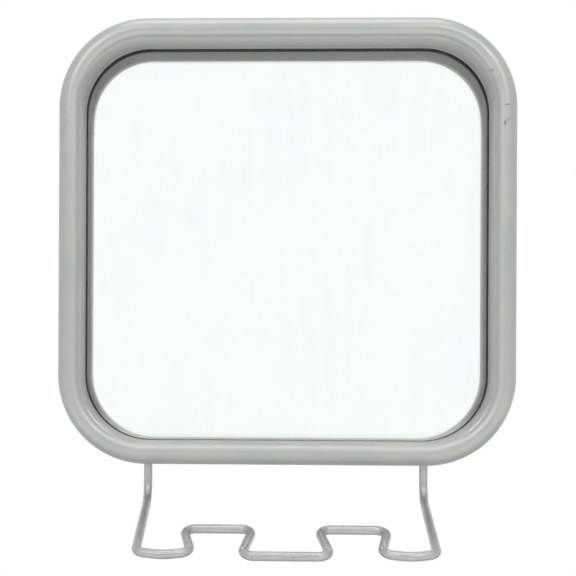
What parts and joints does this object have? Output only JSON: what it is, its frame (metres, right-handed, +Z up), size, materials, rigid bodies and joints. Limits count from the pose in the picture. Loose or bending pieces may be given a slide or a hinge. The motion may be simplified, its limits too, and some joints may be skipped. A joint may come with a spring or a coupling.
{
  "type": "shower mirror",
  "caption": "Fog-free shower mirror in a rounded satin silver frame, held by suction cups, with a bent-wire razor rack under it.",
  "frame": {"origin": "on the wall plane that the cups are pressed on, behind the middle of the frame", "axes": "+Z up, +Y into the wall, so the mirror faces -Y, and +X to the viewer's right"},
  "size_m": [0.19, 0.081, 0.2152],
  "materials": {
    "satin_silver_paint": "satin silver paint on a moulded plastic frame",
    "silvered_mirror": "back-silvered, polished",
    "clear_film": "clear film that water spreads on",
    "grey_seal": "matte",
    "grey_foam": "closed-cell foam",
    "grey_moulding": "finely textured moulding",
    "screw_steel": "stainless",
    "satin_wire": "satin silver coating",
    "white_nylon": "moulded nylon",
    "clear_pvc": "clear soft PVC"
  },
  "bodies": {
    "mirror": {"front_bezel": "satin_silver_paint", "mirror_pane": "silvered_mirror", "anti_fog_film": "clear_film", "mirror_gasket": "grey_seal", "foam_backing": "grey_foam", "back_cover": "grey_moulding", "rack_bush_left": "white_nylon", "rack_bush_right": "white_nylon", "cover_screw_right": "screw_steel", "cover_screw_left": "screw_steel", "cover_screw_top": "screw_steel", "cover_screw_bottom": "screw_steel", "cover_screw_upper_left": "screw_steel", "cover_screw_upper_right": "screw_steel", "cover_screw_lower_left": "screw_steel", "cover_screw_lower_right": "screw_steel"},
    "rack": {"razor_rack": "satin_wire"},
    "cup_upper_left": {"suction_cup_upper_left": "clear_pvc"},
    "cup_upper_right": {"suction_cup_upper_right": "clear_pvc"},
    "cup_lower_left": {"suction_cup_lower_left": "clear_pvc"},
    "cup_lower_right": {"suction_cup_lower_right": "clear_pvc"}
  },
  "joints": [
    {"name": "rack_pull", "type": "slide", "parent": "mirror", "child": "rack", "axis": [0, 0, -1], "range_m": [0, 0.006]},
    {"name": "cup_upper_left_slide", "type": "slide", "parent": "mirror", "child": "cup_upper_left", "axis": [0, 0, -1], "range_m": [0, 0.0095]},
    {"name": "cup_upper_right_slide", "type": "slide", "parent": "mirror", "child": "cup_upper_right", "axis": [0, 0, -1], "range_m": [0, 0.0095]},
    {"name": "cup_lower_left_slide", "type": "slide", "parent": "mirror", "child": "cup_lower_left", "axis": [0, 0, -1], "range_m": [0, 0.0095]},
    {"name": "cup_lower_right_slide", "type": "slide", "parent": "mirror", "child": "cup_lower_right", "axis": [0, 0, -1], "range_m": [0, 0.0095]}
  ]
}
